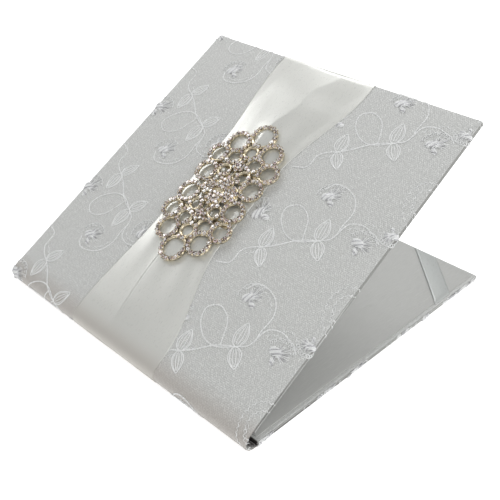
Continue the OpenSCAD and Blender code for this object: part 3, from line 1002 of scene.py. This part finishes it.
class FOLIO_OT_embroidery(FolioOperator, bpy.types.Operator):
    """Makes the corded vines, the leaves and the rosettes on the cloth"""

    bl_idname = "folio.embroidery"
    bl_label = "Embroidery"

    def make(self, sizes, colours):
        white = thread("White thread", colours.white_thread, 0.0, 0.42)
        silver = thread("Silver thread", colours.silver_thread, 0.9, 0.24)
        for cover, side in ((FRONT, "front"), (BACK, "back")):
            half = Half(Cloth(sizes, cover), cover)
            stitched, metallic = self.rosette_lines(half, sizes)
            if cover is BACK:
                stitched += self.edge_lines(half, 1, 1.6)
                metallic += self.edge_lines(half, 2, 3.0)
            vines = threads(side + "_vines", self.vine_lines(half, sizes), beads=0.16)
            rosettes = threads(side + "_rosettes", stitched)
            stitches = threads(side + "_silver_stitches", metallic)
            for piece, finish in ((vines, white), (rosettes, white), (stitches, silver)):
                half.lay(piece)
                finish_piece(piece, finish, cover)

    def vine_lines(self, half, sizes):
        """Each vine is a cord of two twisted strands; scalloped threads run beside some of them."""
        radius = sizes.vine_d / 2
        lines = []
        for place in placings(sizes):
            for line in self.held_lines(half, place, VINES):
                lines += self.twisted(line, radius)
            for line in self.held_lines(half, place, SCALLOPS):
                lines.append(self.scalloped(line, radius * 0.75))
            for leaf in LEAVES:
                lines += [line for line in self.leaf_lines(place, leaf, radius) if half.holds(*line[0][:2])]
        return lines

    def held_lines(self, half, place, shapes):
        """The part of each line that lies on this half, where more than a few points of it do."""
        for shape in shapes:
            line = [p for p in flowing([place(x, y) for x, y in shape]) if half.holds(*p)]
            if len(line) > 4:
                yield np.array(line)

    def twisted(self, line, radius):
        left = left_of(line)
        turn = np.arange(len(line)) * 0.4 * MM / (2.6 * MM) * 2 * math.pi
        for phase in (0, math.pi):
            swing = np.sin(turn + phase) * radius * 0.75
            strand = line + left * swing[:, None]
            height = 0.12 * MM + 0.12 * MM * np.cos(turn + phase)
            plump = radius * (0.42 + 0.4 * np.abs(np.cos(turn / 2 + phase)))
            yield [(x, y, z, r) for (x, y), z, r in zip(strand, height, plump, strict=True)]

    def scalloped(self, line, radius):
        left = left_of(line)
        turn = np.arange(len(line)) * 0.4 * MM / (2.0 * MM) * 2 * math.pi
        wavy = line + left * (np.cos(turn) * 0.38 * MM)[:, None]
        plump = radius * (0.7 + 0.3 * np.sin(turn / 2))
        return [(x, y, 0.1 * MM, r) for (x, y), r in zip(wavy, plump, strict=True)]

    def leaf_lines(self, place, leaf, radius):
        """The outline of an almond leaf, and the stitches that fill it."""
        x, y, turn, long, wide = leaf
        ahead, aside = heading(math.radians(turn)), heading(math.radians(turn + 90))

        def at(t, w):
            return place(*((x, y) + ahead * t * long + aside * w * wide))

        def edge(t):
            return 0.5 * math.sin(math.pi * t**0.8) ** 0.8

        steps = np.linspace(0, 1, 15)
        outline = [at(t, edge(t)) for t in steps] + [at(t, -edge(t)) for t in steps[-2::-1]]
        yield [(*p, 0.12 * MM, radius * 0.95) for p in flowing(outline, 0.5 * MM)]
        for share in (-0.55, -0.2, 0.15, 0.5):
            line = [at(t, share * edge(t) * 1.4) for t in np.linspace(0.12, 0.9, 7)]
            yield [(*p, 0.04 * MM, radius * 0.75) for p in flowing(line, 0.6 * MM)]

    def rosette_places(self, half, sizes):
        for place in placings(sizes):
            for x, y, long, wide, turn in ROSETTES:
                centre = np.array(place(x, y))
                if half.holds(*centre):
                    ahead = place(*((x, y) + heading(math.radians(turn)))) - centre
                    yield centre, math.atan2(ahead[1], ahead[0]), long * MM, wide * MM

    def rosette_lines(self, half, sizes):
        """White and silver stitches: each rosette is two padded lumps, a fan and a curl of small loops."""
        rng = random.Random(7)
        white, silver = [], []
        for centre, facing, long, wide in self.rosette_places(half, sizes):
            way = facing + rng.uniform(-0.3, 0.3)
            small = way + 2.1
            padded = self.lump(centre + heading(way) * 0.25 * long, way, long, wide)
            padded += self.lump(centre + heading(small) * 0.55 * long, small, long * 0.6, wide * 0.55)
            white += [stitch for k, stitch in enumerate(padded) if k % 3 != 2]
            silver += padded[2::3]
            fan = self.fan(centre, way - 2.0, long, rng)
            white += fan[::3] + fan[1::3]
            silver += fan[2::3]
            white.append(self.curl(centre, way - 1.0, long, rng))
        return white, silver

    def lump(self, centre, facing, long, wide):
        """Close parallel stitches over padding, slanted across an oval."""
        ahead, aside = heading(facing), heading(facing + math.pi / 2)
        count = max(5, round(long / (0.8 * MM)))
        stitches = []
        for k in range(count):
            t = (k + 0.5) / count
            girth = math.sin(math.pi * t) ** 0.6
            line = []
            for u in np.linspace(-1, 1, 7):
                slant = (t - 0.5) * long + 0.25 * u * wide * girth
                x, y = centre + ahead * slant + aside * u * wide / 2 * girth
                line.append((x, y, 0.7 * MM * girth * (1 - u * u) ** 0.6, long / count * 0.46))
            stitches.append(line)
        return stitches

    def fan(self, centre, facing, long, rng):
        """Rays of thin stitches from one point."""
        rays = []
        for share in np.linspace(-1, 1, 12):
            way = heading(facing + share * 1.1)
            reach = long * (1 - 0.2 * share**2) * rng.uniform(0.85, 1.05)
            rays.append([
                (*(centre + way * reach * t), 0.42 * MM * math.sin(math.pi * min(t + 0.05, 1)), 0.2 * MM)
                for t in np.linspace(0.1, 1, 7)
            ])
        return rays

    def curl(self, centre, facing, long, rng):
        """Small loops of thread along an arc beside the rosette."""
        line = []
        for t in np.linspace(0, 1, 90):
            turn = 2 * math.pi * 8 * t
            r = 1.15 * long + 0.9 * MM * math.cos(turn) * rng.uniform(0.9, 1.1)
            spin = facing + 2.3 * (t - 0.5) + 0.9 * MM / long * math.sin(turn)
            line.append((*(centre + r * heading(spin)), 0.2 * MM, 0.15 * MM))
        return line

    def edge_lines(self, half, seed, share):
        """Loops of thread where the pattern runs over the cover's near edge, one in each share of reach."""
        rng = random.Random(seed)
        lines = []
        for start, reach in EDGE_SPRAYS:
            for _ in range(max(1, round(reach / share))):
                middle = start + rng.uniform(-reach, reach)
                turns = rng.uniform(1.5, 2.5)
                line = []
                for t in np.linspace(0, 1, 22):
                    turn = 2 * math.pi * turns * t
                    x = -(middle + 1.3 * math.sin(turn) + 2.5 * (t - 0.5)) * MM - 2 * half.cloth.shift
                    y = -(HALF + (1.5 + 0.9 * math.cos(turn)) * MM)
                    line.append((x, y, 0.12 * MM, 0.24 * MM))
                lines.append(line)
        return lines


# --- The brooch ---

# Loops of one quarter of the brooch, in millimetres: along the cover, along the spine, radius
QUARTER_LOOPS = (
    (7.2, 16.0, 5.6), (19.4, 17.6, 5.2), (29.6, 11.4, 6.0), (20.8, 7.2, 4.3), (11.7, 6.6, 3.6)
)
AXIS_LOOPS = ((37.8, 0, 6.6), (26.4, 0, 3.9))
CENTRE_DISCS = ((0, 7.2), (0, -7.2), (4.8, 0), (-4.8, 0))
CENTRE_R = 5.2
STONE_PITCH = 2.5
FLOWER_U, FLOWER_R = 16.5, 2.6  # a big stone on the axis, and the ring of stones round it
FLOWER_FROM, FLOWER_REACH = 12, 3.2  # a flower's stones lie past the first, this near its middle
FILLERS = (
    (12.6, 12.0), (14.4, 11.8), (25.4, 14.6), (33.9, 6.2), (31.9, 4.8), (25.3, 11.0), (22.4, 0.0),
    (13.2, 20.6)
)
BAND_Z = 1.7 * MM  # the height of the loops' bands above the ribbon


def brooch_centre():
    """The brooch's centre as (along the cover, along the spine), from the CAD frame's box."""
    middle = (np.array(BROOCH_LOW) + np.array(BROOCH_HIGH)) / 2
    return float((middle - FRONT.origin) @ FRONT.along), float(middle[1])


def brooch_loops():
    loops = [(u * x, v * y, r) for x, y, r in QUARTER_LOOPS for u in (-1, 1) for v in (-1, 1)]
    return loops + [(u * x, 0.0, r) for x, _, r in AXIS_LOOPS for u in (-1, 1)]


def in_centre(x, y, margin=0.0):
    return min(math.hypot(x - u, y - v) for u, v in CENTRE_DISCS) < CENTRE_R + margin


def in_flower(x, y):
    return abs(x) > FLOWER_FROM and math.hypot(abs(x) - FLOWER_U, y) < FLOWER_REACH


def clear_of(stones, x, y, size):
    return all(math.hypot(x - p[0], y - p[1]) > (p[2] + size) / 2 * 0.95 for p in stones)


def stone_places(small):
    """(x, y, diameter) of every stone, in millimetres from the brooch's centre."""
    kept = []
    for side in (-1, 1):
        kept.append((side * FLOWER_U, 0.0, small * 1.5))
        for k in range(6):
            angle = k * math.pi / 3
            kept.append((side * FLOWER_U + FLOWER_R * math.cos(angle), FLOWER_R * math.sin(angle), small))
    grid = STONE_PITCH * 0.96
    for i in range(-5, 6):
        for j in range(-6, 7):
            x, y = i * grid * 0.9, (j + 0.5 * (i % 2)) * grid
            if in_centre(x, y, -small / 3) and clear_of(kept, x, y, small):
                kept.append((x, y, small))
    for cx, cy, r in brooch_loops():
        count = math.floor(2 * math.pi * r / STONE_PITCH)
        start = math.atan2(-cy, -cx)
        for k in range(count):
            angle = start + (k + 0.5) * 2 * math.pi / count
            x, y = cx + r * math.cos(angle), cy + r * math.sin(angle)
            if clear_of(kept, x, y, small):
                kept.append((x, y, small))
    for x, y in {(u * x, v * y) for x, y in FILLERS for u in (-1, 1) for v in (-1, 1)}:
        if clear_of(kept, x, y, small):
            kept.append((x, y, small))
    return kept


class Brooch:
    """Where things lie on the domed brooch."""

    def __init__(self, sizes):
        self.sizes = sizes
        self.a, self.y = brooch_centre()
        self.base = RIBBON_T + BAND_Z

    def height(self, u, v):
        return self.sizes.dome * (1 - 0.8 * (u / (46 * MM)) ** 2 - 0.7 * (v / (24 * MM)) ** 2)

    def settle(self, piece):
        """Moves a flat brooch piece, made round its own centre, onto the cover."""
        u, v, h = vertices(piece).T
        move_vertices(piece, FRONT.place(self.a + u, self.y + v, self.base + h + self.height(u, v)))


class FOLIO_OT_brooch(FolioOperator, bpy.types.Operator):
    """Makes the openwork frame, its claw settings and its cut stones"""

    bl_idname = "folio.brooch"
    bl_label = "Brooch"

    def make(self, sizes, colours):
        brooch = Brooch(sizes)
        metal = plated_metal(colours)
        stones = stone_places(sizes.stone_d / MM)
        frame_piece = self.openwork()
        cups = repeated("brooch_settings", self.claw_cup(), self.places(stones, 1.06))
        rng = random.Random(3)
        centre = [p for p in stones if in_centre(*p[:2]) or in_flower(*p[:2])]
        loops = [p for p in stones if p not in centre]
        crystal = crystal_finish()
        # the stones' facets get painted reflections
        jewels = [
            (name, node, repeated(name, self.cut_stone(), self.places(group), painted_reflection=lambda: self.facet(rng)))
            for name, node, group in (
                ("brooch_loop_crystals", "brooch_stones", loops),
                ("brooch_centre_crystals", "brooch_centre_stones", centre),
            )
        ]
        for piece in (frame_piece, cups):
            brooch.settle(piece)
            finish_piece(piece, metal, "front_cover")
        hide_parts("brooch_frame")
        for _, node, piece in jewels:
            brooch.settle(piece)
            finish_piece(piece, crystal, "front_cover")
            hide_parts(node)

    def places(self, stones, scale=1.0):
        rng = random.Random(5)
        out = []
        for x, y, d in stones:
            turn = Matrix.Rotation(rng.uniform(0, math.pi), 4, "Z")
            tilt = Matrix.Rotation(rng.uniform(-0.12, 0.12), 4, "X")
            tilt = tilt @ Matrix.Rotation(rng.uniform(-0.12, 0.12), 4, "Y")
            place = Matrix.Translation((x * MM, y * MM, 0))
            out.append(place @ tilt @ turn @ Matrix.Scale(d * MM / 2 * scale, 4))
        return out

    def openwork(self):
        """Round wire loops, soldered together, with four lapped discs in the middle and a bar along it."""
        rings = []
        for x, y, r in brooch_loops():
            deselect()
            bpy.ops.mesh.primitive_torus_add(
                location=(x * MM, y * MM, 0), major_segments=36, minor_segments=8, major_radius=r * MM,
                minor_radius=0.95 * MM
            )
            rings.append(bpy.context.active_object)
        for k, (u, v) in enumerate(CENTRE_DISCS):
            deselect()
            bpy.ops.mesh.primitive_cylinder_add(
                vertices=32, radius=CENTRE_R * MM, depth=0.8 * MM, location=(u * MM, v * MM, 0.02 * k * MM)
            )
            bevel_all(0.3 * MM, 2)
            rings.append(bpy.context.active_object)
        deselect()
        bpy.ops.mesh.primitive_cylinder_add(
            vertices=12, radius=0.8 * MM, depth=47 * MM, rotation=(0, math.pi / 2, 0),
            location=(0, 0, -0.1 * MM)
        )
        bevel_all(0.25 * MM, 2)
        rings.append(bpy.context.active_object)
        choose(*rings)
        bpy.ops.object.transform_apply(location=True, rotation=True, scale=True)
        return shade_smooth(join("brooch_openwork", rings))

    def claw_cup(self):
        """A round cup of radius 1 with four claws bent over its stone."""
        deselect()
        bpy.ops.mesh.primitive_cone_add(
            vertices=8, radius1=0.75, radius2=1.02, depth=0.9, location=(0, 0, 0.55)
        )
        cup = bpy.context.active_object
        bpy.ops.object.transform_apply(location=True)
        bpy.ops.object.mode_set(mode="EDIT")
        bpy.ops.mesh.select_all(action="DESELECT")
        bpy.ops.object.mode_set(mode="OBJECT")
        for face in cup.data.polygons:
            face.select = face.normal.z > 0.9
        bpy.ops.object.mode_set(mode="EDIT")
        bpy.ops.mesh.inset(thickness=0.16, depth=0.0)
        bpy.ops.transform.translate(value=(0, 0, -0.3))
        bpy.ops.object.mode_set(mode="OBJECT")
        claws = []
        for k in range(4):
            angle = math.pi / 4 + k * math.pi / 2
            deselect()
            bpy.ops.mesh.primitive_cone_add(
                vertices=5, radius1=0.2, radius2=0.1, depth=0.75,
                location=(0.86 * math.cos(angle), 0.86 * math.sin(angle), 1.15),
                rotation=(0, -0.5, angle)
            )
            claw = bpy.context.active_object
            bpy.ops.object.transform_apply(location=True, rotation=True, scale=True)
            claws.append(claw)
        return join("claw_cup", [cup, *claws])

    def cut_stone(self):
        """A round brilliant's crown of radius 1: a table, and facets that turn between it and the girdle."""
        deselect()
        bpy.ops.mesh.primitive_cylinder_add(vertices=8, radius=1.0, depth=0.25, location=(0, 0, 0.95))
        stone = bpy.context.active_object
        bpy.ops.object.transform_apply(location=True)
        for face in stone.data.polygons:
            face.select = face.normal.z > 0.9
        bpy.ops.object.mode_set(mode="EDIT")
        bpy.ops.mesh.select_mode(type="FACE")
        bpy.ops.mesh.extrude_region_move(TRANSFORM_OT_translate={"value": (0, 0, 0.34)})
        bpy.ops.transform.resize(value=(0.56, 0.56, 1))
        bpy.ops.transform.rotate(value=math.pi / 8, orient_axis="Z", center_override=(0, 0, 1.4))
        bpy.ops.mesh.select_all(action="SELECT")
        bpy.ops.mesh.quads_convert_to_tris(quad_method="SHORTEST_DIAGONAL", ngon_method="BEAUTY")
        bpy.ops.object.mode_set(mode="OBJECT")
        return stone

    def facet(self, rng):
        """The painted reflection of one facet: most are bright, many are dark, some are warm or rosy."""
        roll = rng.random()
        if roll < 0.36:
            k = rng.uniform(0.01, 0.1)
            return (k, k * 0.62, k * 0.5, 1)
        if roll < 0.6:
            k = rng.uniform(0.22, 0.6)
            return (k, k * 0.74, k * 0.58, 1)
        if roll < 0.7:
            k = rng.uniform(0.5, 0.9)
            return (k, k * 0.76, k * 0.82, 1)
        k = rng.uniform(0.75, 1.0)
        return (k, k, k, 1)


# --- Finishes of the frame's own pieces ---


class FOLIO_OT_carcass(FolioOperator, bpy.types.Operator):
    """Finishes the boards, cards, padding and brooch bars that the frame already holds"""

    bl_idname = "folio.carcass"
    bl_label = "Boards and bars"

    def make(self, sizes, colours):
        board, foam, metal = board_finish(colours), wadding(colours), plated_metal(colours)
        finishes = {"board": board, "card": board, "padding": foam, "bars": metal}
        for name, node in frame["nodes"].items():
            finish = finishes.get(name.rpartition("_")[2])
            if finish:
                node.data.materials.clear()
                node.data.materials.append(finish)


# --- Stage ---

# (name, place, size, watts)
LIGHTS = (
    ("Key", (-0.5, 0.0, 0.95), 0.45, 0.4),
    ("Top", (0.42, 0.38, 0.78), 0.5, 2.65),
    ("Back window", (-0.1, 1.0, 0.85), 0.42, 2.45),
    ("Camera side", (-0.15, -0.6, 0.62), 0.6, 2.0),
    ("Front fill", (0.05, -1.0, 0.22), 0.6, 1.2),
    ("Side fill", (1.0, -0.45, 0.36), 0.6, 0.8),
)
LIGHTS_AIM = Vector((0, 0, 0.05))
FLOOR_Z = -0.3 * MM  # clear of most stitches underneath
CAMERA_PLACE = (-0.26403, -0.24658, 0.24893)


class FOLIO_OT_stage(FolioOperator, bpy.types.Operator):
    """Sets the pale floor, the studio lights and the camera"""

    bl_idname = "folio.stage"
    bl_label = "Stage"

    def make(self, sizes, colours):
        self.floor(colours)
        for lamp in LIGHTS:
            self.light(*lamp)
        world = bpy.data.worlds.new("Studio")
        world.use_nodes = True
        world.node_tree.nodes["Background"].inputs["Color"].default_value = (1.0, 1.0, 0.99, 1)
        world.node_tree.nodes["Background"].inputs["Strength"].default_value = 0.42
        bpy.context.scene.world = world
        bpy.context.scene.view_settings.view_transform = "Standard"
        self.camera()

    def floor(self, colours):
        deselect()
        bpy.ops.mesh.primitive_plane_add(size=8, location=(0, 0, FLOOR_Z))
        floor = bpy.context.active_object
        bpy.ops.object.transform_apply(location=True)
        floor.name = "Floor"
        f = Finish("Pale floor")
        floor.data.materials.append(
            f.surface(
                base_color=rgb(colours.floor), roughness=0.9, emission_color=(1.0, 1.0, 1.0),
                emission_strength=0.6, specular_ior_level=0.1
            )
        )

    def light(self, name, place, size, watts):
        data = bpy.data.lights.new(name, "AREA")
        data.shape = "SQUARE"
        data.size = size
        data.energy = watts
        lamp = bpy.data.objects.new(name, data)
        lamp.location = place
        lamp.rotation_euler = (LIGHTS_AIM - Vector(place)).to_track_quat("-Z", "Y").to_euler()
        bpy.context.scene.collection.objects.link(lamp)

    def camera(self):
        """Looks down across the spine's near end at the standing front cover."""
        turn, pitch, roll = math.radians(46.656), math.radians(32.473), math.radians(1.526)
        level_share = math.cos(pitch)
        ahead = Vector((math.sin(turn) * level_share, math.cos(turn) * level_share, -math.sin(pitch)))
        right = ahead.cross(Vector((0, 0, 1))).normalized()
        up = right.cross(ahead)
        facing = Matrix((right, up, -ahead)).transposed().to_4x4()
        data = bpy.data.cameras.new("Camera")
        data.lens = 56.29
        data.sensor_width = 36
        data.clip_start = 0.01
        camera = bpy.data.objects.new("Camera", data)
        camera.matrix_world = Matrix.Translation(CAMERA_PLACE) @ facing @ Matrix.Rotation(roll, 4, "Z")
        bpy.context.scene.collection.objects.link(camera)
        bpy.context.scene.camera = camera


class FOLIO_PT_panel(bpy.types.Panel):
    """Lists the folio's pieces"""

    bl_idname = "FOLIO_PT_panel"
    bl_label = "Wedding Folio"
    bl_space_type = "VIEW_3D"
    bl_region_type = "UI"
    bl_category = "Folio"

    def draw(self, context):
        for operator in OPERATORS:
            self.layout.operator(operator.bl_idname)
        for group in (context.scene.folio_sizes, context.scene.folio_colours):
            box = self.layout.box()
            for name in group.__annotations__:
                box.prop(group, name)


OPERATORS = (
    FOLIO_OT_covers,
    FOLIO_OT_linings,
    FOLIO_OT_ribbons,
    FOLIO_OT_embroidery,
    FOLIO_OT_brooch,
    FOLIO_OT_carcass,
    FOLIO_OT_stage,
)


def register():
    for cls in (FolioSizes, FolioColours, *OPERATORS, FOLIO_PT_panel):
        bpy.utils.register_class(cls)
    bpy.types.Scene.folio_sizes = bpy.props.PointerProperty(type=FolioSizes)
    bpy.types.Scene.folio_colours = bpy.props.PointerProperty(type=FolioColours)


def unregister():
    del bpy.types.Scene.folio_sizes, bpy.types.Scene.folio_colours
    for cls in (FOLIO_PT_panel, *OPERATORS[::-1], FolioColours, FolioSizes):
        bpy.utils.unregister_class(cls)


def main():
    register()
    for operator in OPERATORS:
        getattr(bpy.ops.folio, operator.bl_idname.split(".")[1])()


if __name__ == "__main__":
    main()
